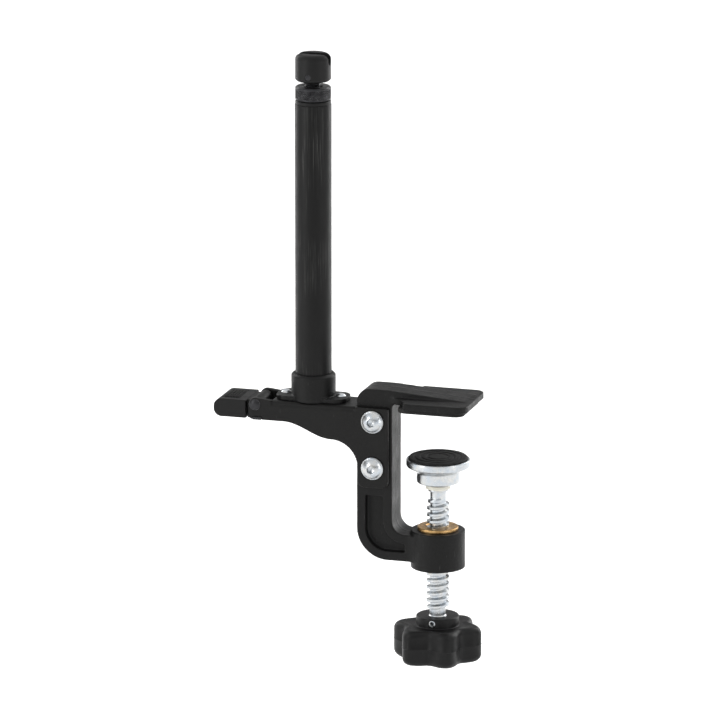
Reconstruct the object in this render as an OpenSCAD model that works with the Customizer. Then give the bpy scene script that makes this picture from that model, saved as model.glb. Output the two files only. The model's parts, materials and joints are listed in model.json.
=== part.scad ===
// Clamp-on post for a table tennis net.
// A C-frame grips the edge of the table top. A pressed-steel arm bolted to its spine carries the
// post that the net's side sleeve slips over, and ends in a cam lever that locks the net's cord.
// The origin is the centre of the upper pad's face, so z = 0 is the table top, +X points in over
// the table and +Z points up.

/* [Net] */
// Height of the net's top cord above the table top
net_height = 152.5; // [145:0.5:160]
// Diameter of the net's top cord
cord_d = 3; // [2:0.5:4]

/* [Table top] */
// Thickness of the table top that the jaw is closed to
table_t = 22; // [18:1:30]
// How far the upper jaw reaches over the table top
jaw_reach = 36; // [34:1:44]
// Width of the upper jaw
jaw_w = 34; // [30:1:44]

/* [C-frame] */
// Width of the frame, side to side
frame_w = 15; // [14:1:18]
// Depth of the frame's spine, front to back
spine_t = 16; // [15:1:20]
// Clear depth of the throat, from the table top to the lower arm
throat = 57; // [57:1:70]
// Height of the lower arm
lower_arm_t = 12; // [11:1:14]

/* [Arm] */
// Distance from the table's edge to the axis of the post
post_offset = 38; // [38:1:60]
// Distance from the axis of the post to the outboard end of the lever
arm_overhang = 43; // [42:1:48]
// Depth of the arm's side cheeks where they are shallowest
arm_h = 9; // [9:0.5:11]
// Thickness of the arm's sheet steel
sheet_t = 2.5; // [2:0.25:2.5]

/* [Post] */
// Outside diameter of the post
post_d = 16; // [15:0.5:18]
// Wall of the post's tube
post_wall = 1.5; // [1:0.25:1.75]

/* [Clamp screw] */
// Outside diameter of the clamp screw's thread
screw_d = 10; // [9:0.5:11]
// Diameter of the knob over its lobes
knob_d = 40; // [34:1:46]
// Number of lobes on the knob
knob_lobes = 6; // [5:1:8]

/* [Hidden] */
$fn = 48;
eps = 0.01;

// Places along X
edge_x = -jaw_reach / 2 - 1;
tip_x = edge_x + jaw_reach;
spine_x = edge_x - spine_t;
bolt_x = edge_x - spine_t / 2;
cheek_x = edge_x - 1;
post_x = edge_x - post_offset;
lever_x = post_x - 24;
lever_end_x = post_x - arm_overhang;

// Upper jaw
pad_t = 2;
pad_size = 30;
jaw_plate_t = 3;
jaw_root_t = 6;

// Lower arm, its boss and the threaded insert
boss_r = 12;
boss_top = -throat + 2;
boss_bottom = -throat - lower_arm_t - 3;
insert_r = 7;
insert_flange_t = 1.5;

// Arm
arm_w = frame_w + 2 * sheet_t;
cheek_bottom = -36;
bolt_zs = [-6, -27];
bolt_d = 5;
washer_t = 1;
slot_x = lever_x + 7.5;

// Cord lock; with the lever up, the cord just passes between the lever's hub and the anvil
lock_pin_d = 3;
ear_r = 3;
lever_hub_r = 2.6;
lever_w = frame_w - 0.4;
lever_gap = 4.3;
anvil_t = 1.2;
lock_z = -arm_h + anvil_t + cord_d + lever_hub_r;
lever_top = lock_z + 1.6;

// Post and its fixings
socket_flange_t = 2;
socket_l = 32;
socket_h = 12;
rivet_pitch = 25;
rivet_d = 3.5;
post_bolt_d = 6;
plug_h = 16;
swage = 0.5;

// Height adjuster at the top of the post
head_r = post_d / 2 - 0.2;
head_top = net_height + 2;
head_h = 12;
head_gap = 2.5;
nut_h = 6;
bush_flange_t = 1.5;
bush_l = 18;
stem_d = 8;
stem_flat = 6.6;
stem_top = head_top - 7;
stem_l = 35.5;
nut_top = head_top - head_h - head_gap;
tube_top = nut_top - nut_h - 0.1 - bush_flange_t;

// Pressure foot and clamp screw, with the foot's pad on the underside of the table top
foot_r = 14;
foot_pad_t = 2;
rim_h = 1;
ball_r = 5;
ball_z = -table_t - 8.2;
ball_gap = 0.1;
neck_r = 3.2;
foot_bottom = ball_z - 3.3;
shoulder_z = ball_z - 6.3;
foot_washer_t = 1.8;
knob_top = boss_bottom - 22;
knob_h = 20;
hub_h = 4;
hub_r = 9.5;
knob_pin_d = 3;
cap_t = 2.5;
cap_recess = 3;

// Points on an arc about centre c, from angle a0 to angle a1
function arc(c, r, a0, a1, n = 12) =
    [for (i = [0:n]) c + r * [cos(a0 + (a1 - a0) * i / n), sin(a0 + (a1 - a0) * i / n)]];

// A profile drawn in X and Z, made w thick about the plane y = 0
module side_plate(w) {
    rotate([90, 0, 0])
        translate([0, 0, -w / 2])
            linear_extrude(w) children();
}

// A straight round bar along Y, l long about the plane y = 0
module cross_bar(x, z, d, l) {
    translate([x, 0, z])
        rotate([90, 0, 0])
            cylinder(d = d, h = l, center = true);
}

// A rectangle in plan with rounded corners
module rounded_plate(l, w, r, h) {
    corners = concat(
        arc([l / 2 - r, w / 2 - r], r, 0, 90),
        arc([-l / 2 + r, w / 2 - r], r, 90, 180),
        arc([-l / 2 + r, -w / 2 + r], r, 180, 270),
        arc([l / 2 - r, -w / 2 + r], r, 270, 360)
    );
    linear_extrude(h) polygon(corners);
}

// A low dome that stands on z = 0
module dome(r, h) {
    sphere_r = (r * r + h * h) / (2 * h);
    half_angle = asin(r / sphere_r);
    rotate_extrude()
        polygon(concat([[0, 0]], arc([0, h - sphere_r], sphere_r, 90 - half_angle, 90, 6)));
}

// A washer that stands on z = 0
module washer(od, id, t) {
    difference() {
        cylinder(d = od, h = t);
        translate([0, 0, -1]) cylinder(d = id, h = t + 2);
    }
}

// Moves a fastener drawn along +Z to one arm bolt's line, with its z = 0 at y and +Z along +Y
module on_bolt_line(z, y) {
    translate([bolt_x, y, z]) rotate([-90, 0, 0]) children();
}

// ---- C-frame ----

module frame_profile() {
    outer_r = 14;
    polygon(concat(
        [[tip_x, pad_t]],
        arc([edge_x + 2, pad_t - 2], 2, 90, 180, 4),
        arc([edge_x + 6, -throat + 6], 6, 180, 270),
        [[boss_r / 2, -throat], [boss_r / 2, -throat - lower_arm_t]],
        arc([spine_x + outer_r, -throat - lower_arm_t + outer_r], outer_r, 270, 180, 20),
        arc([spine_x + 6, pad_t + jaw_root_t - 6], 6, 180, 90),
        [[edge_x - 2, pad_t + jaw_root_t], [tip_x - 3, pad_t + jaw_plate_t + 0.4]],
        [[tip_x, pad_t + jaw_plate_t - 0.6]]
    ));
}

// The recess in each side of the cast frame, set in by a constant rim
module frame_pocket_profile() {
    rim = 4;
    inner_r = 6 + rim;
    outer_r = 14 - rim;
    polygon(concat(
        [[spine_x + rim, cheek_bottom - 4], [edge_x - rim, cheek_bottom - 4]],
        arc([edge_x + 6, -throat + 6], inner_r, 180, 270),
        [[edge_x + 6, -throat - lower_arm_t + rim]],
        arc([spine_x + 14, -throat - lower_arm_t + 14], outer_r, 270, 180, 16)
    ));
}

module jaw_plan() {
    half = jaw_w / 2;
    flare = half - frame_w / 2;
    corner = 5;
    polygon(concat(
        [[edge_x - 8, -frame_w / 2]],
        arc([edge_x - 2, -half], flare, 90, 0),
        arc([tip_x - corner, corner - half], corner, 270, 360),
        arc([tip_x - corner, half - corner], corner, 0, 90),
        arc([edge_x - 2, half], flare, 0, -90),
        [[edge_x - 8, frame_w / 2]]
    ));
}

// The lower arm's sides, which sweep out in a fillet to meet the boss
module boss_fillet_plan() {
    fillet_r = 8;
    centre_y = frame_w / 2 + fillet_r;
    centre_x = -sqrt(pow(boss_r + fillet_r, 2) - pow(centre_y, 2));
    meets = atan2(-centre_y, -centre_x);
    polygon(concat(
        arc([centre_x, centre_y], fillet_r, -90, meets),
        arc([centre_x, -centre_y], fillet_r, -meets, 90)
    ));
}

module clamp_frame() {
    pocket_depth = 3;
    color("#262626")
    difference() {
        union() {
            side_plate(frame_w) frame_profile();
            translate([0, 0, pad_t]) linear_extrude(jaw_plate_t) jaw_plan();
            translate([0, 0, boss_bottom]) cylinder(r = boss_r, h = boss_top - boss_bottom);
            translate([0, 0, -throat - lower_arm_t])
                linear_extrude(lower_arm_t) boss_fillet_plan();
        }
        translate([0, 0, boss_bottom - 1])
            cylinder(r = insert_r, h = boss_top - boss_bottom + 2);
        for (z = bolt_zs) cross_bar(bolt_x, z, bolt_d + 0.2, frame_w + 2);
        for (side = [-1, 1])
            translate([0, side * (frame_w - pocket_depth), 0])
                side_plate(frame_w) frame_pocket_profile();
    }
}

module jaw_pad() {
    color("#1b1b1b") rounded_plate(pad_size, pad_size, 4, pad_t);
}

module thread_insert() {
    color("#b08d4f")
    difference() {
        union() {
            translate([0, 0, boss_bottom]) cylinder(r = insert_r, h = boss_top - boss_bottom);
            translate([0, 0, boss_top]) cylinder(r = insert_r + 2, h = insert_flange_t);
        }
        translate([0, 0, boss_bottom - 1])
            cylinder(d = screw_d + 0.1, h = boss_top - boss_bottom + 4);
    }
}

// ---- Arm ----

// Side view of a cheek: shallow along the arm, with a curved web that deepens to the spine
module cheek_profile() {
    web_start = post_x - 11;
    web_end = spine_x - 11;
    web_drop = 6.5;
    web_r = 12;
    web_z = -arm_h - web_drop;
    corner = 3;
    polygon(concat(
        [[cheek_x, 0], [slot_x, 0]],
        arc([lever_x, lock_z], ear_r, 84, 180),
        arc([lever_x - ear_r + 2, -arm_h + 2], 2, 180, 270, 4),
        [for (i = [0:24])
            [web_start + (web_end - web_start) * i / 24,
             -arm_h - web_drop * (1 - cos(180 * i / 24)) / 2]],
        arc([web_end, web_z - web_r], web_r, 90, 0, 16),
        arc([web_end + web_r + corner, cheek_bottom + corner], corner, 180, 270, 4),
        arc([cheek_x - corner, cheek_bottom + corner], corner, 270, 360, 4)
    ));
}

// What is cut away to round the arm's top edge along X, as the bend in the sheet does
module bend_cutter(side, r) {
    l = spine_x - slot_x;
    translate([slot_x, side * (arm_w / 2 - r), -r])
        difference() {
            translate([0, side > 0 ? 0 : -r - 1, 0]) cube([l, r + 1, r + 1]);
            translate([-1, 0, 0]) rotate([0, 90, 0]) cylinder(r = r, h = l + 2);
        }
}

module arm_channel() {
    color("#262626")
    difference() {
        side_plate(arm_w) cheek_profile();
        side_plate(frame_w)
            polygon([[lever_end_x, 10], [slot_x, 10], [slot_x, -sheet_t], [spine_x, -sheet_t],
                     [spine_x, 10], [0, 10], [0, cheek_bottom - 5], [lever_end_x, cheek_bottom - 5]]);
        for (side = [-1, 1]) bend_cutter(side, sheet_t);
        for (z = bolt_zs) cross_bar(bolt_x, z, bolt_d + 0.2, arm_w + 2);
        cross_bar(lever_x, lock_z, lock_pin_d, arm_w + 2);
        anvil_tab(arm_w + 2, 1);
        translate([post_x, 0, -sheet_t - 1]) cylinder(d = post_bolt_d + 0.4, h = sheet_t + 2);
        for (side = [-1, 1])
            translate([post_x + side * rivet_pitch / 2, 0, -sheet_t - 1])
                cylinder(d = rivet_d, h = sheet_t + 2);
    }
}

module arm_bolts() {
    bolt_head_r = 4.75;
    bolt_head_h = 2.75;
    face = arm_w / 2 + washer_t;
    color("#c9ccd0")
    for (z = bolt_zs)
        on_bolt_line(z, -face)
            difference() {
                union() {
                    mirror([0, 0, 1]) dome(bolt_head_r, bolt_head_h);
                    cylinder(d = bolt_d, h = 2 * face + 5.5);
                }
                translate([0, 0, -bolt_head_h - 1]) cylinder(d = 3.46, h = 2.6, $fn = 6);
            }
}

module arm_washers() {
    color("#c9ccd0")
    for (z = bolt_zs)
        for (y = [-arm_w / 2 - washer_t, arm_w / 2])
            on_bolt_line(z, y) washer(10, bolt_d + 0.2, washer_t);
}

module arm_nuts() {
    color("#c9ccd0")
    for (z = bolt_zs)
        on_bolt_line(z, arm_w / 2 + washer_t)
            difference() {
                union() {
                    cylinder(d = 9.24, h = 3.2, $fn = 6);
                    cylinder(d = 7.4, h = 4.6);
                }
                translate([0, 0, -1]) cylinder(d = bolt_d, h = 8);
            }
}

// ---- Cord lock ----

// The staked tab at each end of the anvil, l long about the plane y = 0, grown downwards by drop
module anvil_tab(l, drop = 0) {
    translate([lever_x - 1, -l / 2, -arm_h - drop]) cube([4, l, anvil_t + drop]);
}

module lock_anvil() {
    color("#2b2b2b")
    union() {
        translate([lever_x - 4, -frame_w / 2, -arm_h]) cube([10, frame_w, anvil_t]);
        anvil_tab(arm_w + 0.8);
    }
}

module lock_pin() {
    color("#3a3a3a")
    union() {
        cross_bar(lever_x, lock_z, lock_pin_d, arm_w);
        for (side = [-1, 1])
            translate([lever_x, side * arm_w / 2, lock_z])
                rotate([-90 * side, 0, 0]) dome(2.6, 1);
    }
}

// Side view of the lever between the ears. With the lever down, its eccentric cam squeezes the
// cord to the height of the nip.
module lever_cam_profile() {
    cam_r = 2.9;
    nip = 0.3 * cord_d;
    cam_offset = lever_hub_r + cord_d - nip - cam_r;
    union() {
        translate([lever_x - cam_offset * sin(5), lock_z - cam_offset * cos(5)]) circle(r = cam_r);
        translate([lever_x, lock_z]) circle(r = lever_hub_r);
        translate([lever_x - 8, lock_z - 2.4]) square([8, 3.8]);
    }
}

// Side view of the thumb block beyond the ears, which continues the arm's outline
module lever_block_profile() {
    bottom = -arm_h + 0.3;
    corner = 3.5;
    inner = lever_x - lever_gap;
    polygon(concat(
        [[inner, bottom], [inner, lever_top]],
        arc([lever_end_x + corner, lever_top - corner], corner, 90, 180),
        arc([lever_end_x + corner, bottom + corner], corner, 180, 270)
    ));
}

module lock_lever() {
    notch_w = cord_d + 2;
    color("#232323")
    difference() {
        union() {
            side_plate(lever_w) lever_cam_profile();
            side_plate(arm_w) lever_block_profile();
        }
        cross_bar(lever_x, lock_z, lock_pin_d + 0.1, arm_w);
        translate([lever_end_x - 1, -notch_w / 2, -arm_h - 1])
            cube([lever_x - lever_gap - lever_end_x + 2, notch_w, cord_d + 2]);
        translate([lever_end_x + 3, -arm_w / 2 + 3, lever_top - 0.8])
            cube([8, arm_w - 6, 2]);
    }
}

// Soft thumb pad let into the top of the lever
module lever_pad() {
    color("#1b1b1b")
    translate([lever_end_x + 3, -arm_w / 2 + 3, lever_top - 0.8])
        cube([8, arm_w - 6, 1.2]);
}

// ---- Post ----

module post_socket() {
    collar_r = post_d / 2 + 1.8;
    color("#242424")
    difference() {
        translate([post_x, 0, 0]) union() {
            rounded_plate(socket_l, frame_w, 5, socket_flange_t);
            cylinder(r = collar_r, h = socket_h - 1);
            translate([0, 0, socket_h - 1]) cylinder(r1 = collar_r, r2 = collar_r - 1, h = 1);
        }
        translate([post_x, 0, -1]) cylinder(d = post_d - 2 * swage, h = socket_h + 2);
        for (side = [-1, 1])
            translate([post_x + side * rivet_pitch / 2, 0, -1])
                cylinder(d = rivet_d, h = socket_flange_t + 2);
    }
}

module socket_rivets() {
    rivet_head_r = 2.4;
    color("#c9ccd0")
    for (side = [-1, 1])
        translate([post_x + side * rivet_pitch / 2, 0, 0]) union() {
            translate([0, 0, -sheet_t]) cylinder(d = rivet_d, h = sheet_t + socket_flange_t);
            translate([0, 0, socket_flange_t]) dome(rivet_head_r, 1.4);
            translate([0, 0, -sheet_t]) mirror([0, 0, 1]) dome(rivet_head_r, 1.2);
        }
}

// The tube's foot is swaged down to seat in the socket, so the post bears on the collar's rim
module post_tube() {
    color("#242424")
    translate([post_x, 0, 0])
        difference() {
            union() {
                translate([0, 0, socket_h]) cylinder(d = post_d, h = tube_top - socket_h);
                cylinder(d = post_d - 2 * swage, h = socket_h);
            }
            translate([0, 0, -1]) cylinder(d = post_d - 2 * post_wall, h = tube_top + 2);
        }
}

module post_plug() {
    color("#9a9da1")
    translate([post_x, 0, 0])
        difference() {
            cylinder(d = post_d - 2 * post_wall, h = plug_h);
            translate([0, 0, -1]) cylinder(d = post_bolt_d, h = plug_h - 1);
        }
}

module post_bolt() {
    head_h = 4;
    under = -sheet_t - washer_t;
    color("#c9ccd0")
    translate([post_x, 0, under])
        difference() {
            union() {
                translate([0, 0, -head_h]) cylinder(d = 10, h = head_h);
                cylinder(d = post_bolt_d, h = 12 - under);
            }
            translate([0, 0, -head_h - 1]) cylinder(d = 5.77, h = 3.4, $fn = 6);
        }
}

module post_washer() {
    color("#c9ccd0")
    translate([post_x, 0, -sheet_t - washer_t]) washer(12, post_bolt_d + 0.4, washer_t);
}

// Section of the height stem: a round rod with two flats, grown by gap all round
module stem_section(gap) {
    intersection() {
        circle(d = stem_d + 2 * gap);
        square([stem_flat + 2 * gap, stem_d + 2], center = true);
    }
}

module post_top_bush() {
    color("#2b2b2b")
    translate([post_x, 0, tube_top])
        difference() {
            union() {
                translate([0, 0, -bush_l]) cylinder(d = post_d - 2 * post_wall, h = bush_l);
                cylinder(r = head_r, h = bush_flange_t);
            }
            translate([0, 0, -bush_l - 1])
                linear_extrude(bush_l + bush_flange_t + 2) stem_section(0.15);
        }
}

module height_nut() {
    color("#303030")
    translate([post_x, 0, nut_top - nut_h])
        difference() {
            cylinder(r = head_r, h = nut_h);
            translate([0, 0, -1]) cylinder(d = stem_d + 0.15, h = nut_h + 2);
        }
}

module head_stem() {
    color("#4a4a4a")
    translate([post_x, 0, stem_top - stem_l])
        difference() {
            linear_extrude(stem_l) stem_section(0);
            translate([0, 0, stem_l - 2.5]) rotate([90, 0, 0])
                cylinder(d = 2.5, h = post_d, center = true);
        }
}

module cord_head() {
    groove_r = (cord_d + 1) / 2;
    groove_z = net_height - cord_d + groove_r;
    edge_r = 2.5;
    bottom = head_top - head_h;
    color("#232323")
    difference() {
        translate([post_x, 0, bottom])
            rotate_extrude()
                polygon(concat(
                    [[0, 0], [head_r - 0.8, 0], [head_r, 0.8]],
                    arc([head_r - edge_r, head_h - edge_r], edge_r, 0, 90),
                    [[0, head_h]]
                ));
        translate([post_x - post_d, 0, groove_z]) rotate([0, 90, 0])
            cylinder(r = groove_r, h = 2 * post_d);
        translate([post_x - post_d, -groove_r, groove_z]) cube([2 * post_d, 2 * groove_r, 10]);
        translate([post_x, 0, bottom - 1]) linear_extrude(stem_top - bottom + 1) stem_section(0);
        cross_bar(post_x, stem_top - 2.5, 2.5, 2 * post_d);
    }
}

module head_pin() {
    color("#3a3a3a")
    cross_bar(post_x, stem_top - 2.5, 2.5, 2 * head_r - 0.4);
}

// ---- Pressure foot ----

module pressure_foot() {
    top = -table_t - foot_pad_t;
    neck_r_out = 9.5;
    color("#8f9296")
    difference() {
        rotate_extrude()
            polygon([
                [0, top], [foot_r - 1, top], [foot_r - 1, top + rim_h],
                [foot_r - 0.3, top + rim_h], [foot_r, top + rim_h - 0.3], [foot_r, top - 2],
                [neck_r_out, top - 5.5], [neck_r_out, foot_bottom + 0.8],
                [neck_r_out - 0.8, foot_bottom], [0, foot_bottom]
            ]);
        translate([0, 0, ball_z]) sphere(r = ball_r + ball_gap);
        translate([0, 0, foot_bottom - eps])
            cylinder(r1 = 4.6, r2 = 3.9, h = 0.7);
    }
}

module foot_pad() {
    color("#1b1b1b")
    translate([0, 0, -table_t - foot_pad_t]) cylinder(r = foot_r - 1, h = foot_pad_t);
}

// Nylon washer on the screw's neck, which keeps the tilting foot off the thread
module foot_washer() {
    color("#d8d6cc")
    translate([0, 0, shoulder_z + 0.1]) washer(11, 2 * neck_r + 0.2, foot_washer_t);
}

// ---- Clamp screw ----

module clamp_screw() {
    end_z = knob_top - knob_h + cap_recess + 0.5;
    chamfer = 1;
    color("#b9bcc0")
    difference() {
        union() {
            translate([0, 0, ball_z]) sphere(r = ball_r);
            translate([0, 0, shoulder_z - 1]) cylinder(r = neck_r, h = ball_z - shoulder_z + 1);
            translate([0, 0, shoulder_z - chamfer])
                cylinder(r1 = screw_d / 2, r2 = screw_d / 2 - chamfer, h = chamfer);
            translate([0, 0, knob_top]) cylinder(d = screw_d, h = shoulder_z - chamfer - knob_top);
            translate([0, 0, end_z]) cylinder(d = screw_d - 2, h = knob_top - end_z);
        }
        cross_bar(0, knob_top - hub_h / 2, knob_pin_d, 2 * screw_d);
    }
}

// Plan of the knob, a circle whose radius swells at each lobe
module knob_plan() {
    swell = 2.4;
    mean_r = knob_d / 2 - swell;
    steps = 20 * knob_lobes;
    polygon([for (i = [0:steps - 1])
        let (a = 360 * i / steps, r = mean_r + swell * cos(knob_lobes * a)) r * [cos(a), sin(a)]]);
}

module clamp_knob() {
    color("#202020")
    difference() {
        union() {
            translate([0, 0, knob_top - knob_h]) linear_extrude(knob_h - hub_h) knob_plan();
            translate([0, 0, knob_top - hub_h]) cylinder(r = hub_r, h = hub_h);
        }
        translate([0, 0, knob_top - knob_h - 1]) cylinder(d = screw_d - 2, h = knob_h + 2);
        translate([0, 0, knob_top - knob_h - 1]) cylinder(r = hub_r, h = cap_recess + 1);
        cross_bar(0, knob_top - hub_h / 2, knob_pin_d, knob_d);
    }
}

module knob_pin() {
    color("#c9ccd0")
    cross_bar(0, knob_top - hub_h / 2, knob_pin_d, 2 * hub_r - 1);
}

module knob_cap() {
    color("#2b2b2b")
    translate([0, 0, knob_top - knob_h + cap_recess - cap_t]) cylinder(r = hub_r, h = cap_t);
}

clamp_frame();
jaw_pad();
thread_insert();
arm_channel();
arm_bolts();
arm_washers();
arm_nuts();
post_socket();
socket_rivets();
post_tube();
post_plug();
post_bolt();
post_washer();
post_top_bush();
height_nut();
cord_head();
head_stem();
head_pin();
lock_anvil();
lock_pin();
lock_lever();
lever_pad();
foot_washer();
pressure_foot();
foot_pad();
clamp_screw();
clamp_knob();
knob_pin();
knob_cap();
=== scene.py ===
"""Looks of the clamp-on post for a table tennis net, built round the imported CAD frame.

The origin is the centre of the upper pad's face, on the table top; +X points in over the table.
Lengths in the code are in metres, written as a number of millimetres times MM.
"""
import json
import math

import bmesh
import bpy
from mathutils import Matrix, Vector


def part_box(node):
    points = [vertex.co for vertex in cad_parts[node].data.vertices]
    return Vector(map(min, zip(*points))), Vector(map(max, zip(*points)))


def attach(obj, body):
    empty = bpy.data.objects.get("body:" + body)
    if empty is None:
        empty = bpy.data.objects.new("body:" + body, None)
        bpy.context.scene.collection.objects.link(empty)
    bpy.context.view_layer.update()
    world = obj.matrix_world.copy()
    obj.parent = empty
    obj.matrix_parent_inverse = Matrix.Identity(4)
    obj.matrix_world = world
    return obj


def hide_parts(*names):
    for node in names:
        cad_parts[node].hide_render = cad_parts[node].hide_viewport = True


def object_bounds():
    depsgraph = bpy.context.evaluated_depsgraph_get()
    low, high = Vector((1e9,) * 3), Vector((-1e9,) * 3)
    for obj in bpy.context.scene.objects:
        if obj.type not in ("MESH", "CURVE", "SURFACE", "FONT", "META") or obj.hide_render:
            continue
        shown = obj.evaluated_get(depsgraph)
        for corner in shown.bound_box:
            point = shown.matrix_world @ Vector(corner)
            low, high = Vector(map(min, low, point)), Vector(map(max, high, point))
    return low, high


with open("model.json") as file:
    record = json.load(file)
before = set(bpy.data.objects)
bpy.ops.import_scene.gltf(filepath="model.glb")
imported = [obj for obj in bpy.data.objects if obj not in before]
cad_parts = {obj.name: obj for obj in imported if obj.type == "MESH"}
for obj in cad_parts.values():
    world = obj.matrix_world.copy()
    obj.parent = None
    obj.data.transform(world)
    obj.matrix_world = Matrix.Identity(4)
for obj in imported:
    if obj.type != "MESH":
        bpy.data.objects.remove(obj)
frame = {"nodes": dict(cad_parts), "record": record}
cad_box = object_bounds()

MM = 0.001
RECORD = frame["record"]
BODY_OF = {node: body for body, nodes in RECORD["behaviour"]["bodies"].items() for node in nodes}
SLOT_OF = {part["node"]: part["material_slot"] for part in RECORD["subparts"]}


# ---- Materials ----

# Specular level of the near-black coats and plastics, where 0.5 is usual
SHEEN = 0.15


class Shader:
    """A material's node tree with one Principled shader, and short ways to add to it.

    A source is a node's output. Wherever a value is wanted, a source does too.
    """

    def __init__(self, name, colour, roughness, metallic=0.0, specular=0.5):
        self.material = bpy.data.materials.new(name)
        self.material.use_nodes = True
        self.tree = self.material.node_tree
        self.surface = self.tree.nodes["Principled BSDF"]
        self.set("Base Color", colour)
        self.set("Roughness", roughness)
        self.set("Metallic", metallic)
        self.set("Specular IOR Level", specular)
        self.coords = self.node("ShaderNodeTexCoord").outputs["Object"]

    def feed(self, socket, value):
        """Links a source to a socket, or gives the socket a number, vector or colour."""
        if isinstance(value, bpy.types.NodeSocket):
            self.tree.links.new(value, socket)
        elif socket.type == "RGBA":
            socket.default_value = (*value, 1)
        else:
            socket.default_value = value

    def set(self, socket, value):
        self.feed(self.surface.inputs[socket], value)

    def node(self, kind, inputs=None, **settings):
        made = self.tree.nodes.new(kind)
        for key, value in settings.items():
            setattr(made, key, value)
        for socket, value in (inputs or {}).items():
            self.feed(made.inputs[socket], value)
        return made

    def stretched(self, scale, turn=(0, 0, 0)):
        """The object's coordinates, turned, and squeezed by a factor along each axis."""
        return self.node("ShaderNodeMapping", {
            "Vector": self.coords, "Rotation": turn, "Scale": scale}).outputs["Vector"]

    def noise(self, size, detail=3, roughness=0.5, coords=None):
        """Noise whose features are about size across, from 0 to 1."""
        return self.node("ShaderNodeTexNoise", {
            "Vector": coords or self.coords, "Scale": 1 / size, "Detail": detail,
            "Roughness": roughness}).outputs["Fac"]

    def spread(self, source, low, high, to_low=0.0, to_high=1.0):
        """Maps low..high of source to to_low..to_high, clamped."""
        return self.node("ShaderNodeMapRange", {
            "Value": source, "From Min": low, "From Max": high, "To Min": to_low,
            "To Max": to_high}).outputs["Result"]

    def maths(self, operation, a, b):
        return self.node("ShaderNodeMath", {0: a, 1: b}, operation=operation).outputs["Value"]

    def mix(self, factor, a, b):
        """Colour a where factor is 0 and colour b where it is 1."""
        # Inputs 6 and 7 and output 2 are the node's colours; the others are for numbers and vectors
        made = self.node("ShaderNodeMix", {"Factor": factor, 6: a, 7: b}, data_type="RGBA")
        return made.outputs[2]

    def edges(self, radius, low=0.02, high=0.2):
        """1 on the object's convex and concave edges, 0 on its flats."""
        rounded_normal = self.node("ShaderNodeBevel", {"Radius": radius}, samples=6).outputs["Normal"]
        normal = self.node("ShaderNodeNewGeometry").outputs["Normal"]
        dot = self.node("ShaderNodeVectorMath", {0: rounded_normal, 1: normal}, operation="DOT_PRODUCT")
        return self.spread(dot.outputs["Value"], 1 - low, 1 - high)

    def scratches(self, width):
        """Fine straight scratches about width across in two directions, 1 in a scratch."""
        peak = 0.12  # width of the noise's peaks, as a share of its size
        marks = None
        for turn in ((0.4, 0.3, 0.7), (-0.5, 0.9, -0.6)):
            along = self.stretched((1, 0.008, 0.07), turn)
            line = self.spread(self.noise(width / peak, detail=2, coords=along), 0.72, 0.79)
            marks = self.maths("MAXIMUM", marks, line) if marks else line
        return marks

    def bump(self, *heights):
        """Stacks bumps, each a (height source, depth) pair, into the shader's normal."""
        below = {}
        for source, depth in heights:
            made = self.node("ShaderNodeBump", {
                "Height": source, "Strength": 1, "Distance": depth, **below})
            below = {"Normal": made.outputs["Normal"]}
        self.set("Normal", below["Normal"])


def scaled(colour, factor):
    return tuple(factor * c for c in colour)


def tinted(colour, factors):
    return tuple(c * f for c, f in zip(colour, factors))


def powder_coat(name, colour, roughness, grain, depth, wear_and_highlight, parting=0.0):
    """Black powder coat with orange peel of size grain, smudged; its edges paler from wear and a
    painted highlight.

    parting is the height of a casting's parting line, which runs round it in the plane y = 0.
    """
    shader = Shader(name, colour, roughness, specular=SHEEN)
    peel = shader.noise(grain, detail=2)
    fine = shader.noise(grain * 0.22, detail=2)
    cloud = shader.noise(9 * MM, detail=5, roughness=0.6)
    chips = shader.spread(shader.noise(2.4 * MM, detail=8, roughness=0.7), 0.5, 0.6)
    rubbed_and_highlit = shader.maths("MULTIPLY", shader.edges(0.8 * MM), chips)
    scratches = shader.scratches(0.05 * MM)
    dust = shader.spread(shader.noise(1.1 * MM, detail=6, roughness=0.75), 0.62, 0.78)
    tone = shader.mix(cloud, scaled(colour, 0.75), scaled(colour, 1.3))
    tone = shader.mix(shader.maths("MULTIPLY", dust, 0.25), tone, (0.07, 0.068, 0.064))
    tone = shader.mix(shader.maths("MULTIPLY", scratches, 0.5), tone, (0.06, 0.06, 0.06))
    # Edges painted paler: partly chipped and rubbed coat, partly a painted highlight along them
    shader.set("Base Color", shader.mix(rubbed_and_highlit, tone, (wear_and_highlight, wear_and_highlight, wear_and_highlight * 0.97)))
    rough = shader.spread(cloud, 0.32, 0.68, roughness - 0.07, roughness + 0.09)
    shader.set("Roughness", shader.maths("SUBTRACT", rough, shader.maths("MULTIPLY", rubbed_and_highlit, 0.12)))
    bumps = [(peel, depth), (fine, depth * 0.25), (scratches, -0.01 * MM)]
    if parting:
        axes = shader.node("ShaderNodeSeparateXYZ", {"Vector": shader.coords})
        wander = shader.spread(shader.noise(5 * MM, detail=4), 0, 1, -0.5 * MM, 0.5 * MM)
        offset = shader.maths("ABSOLUTE", shader.maths("ADD", axes.outputs["Y"], wander), 0)
        bumps.append((shader.spread(offset, 0.1 * MM, 0.7 * MM, 1, 0), parting))
    shader.bump(*bumps)
    return shader.material


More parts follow.
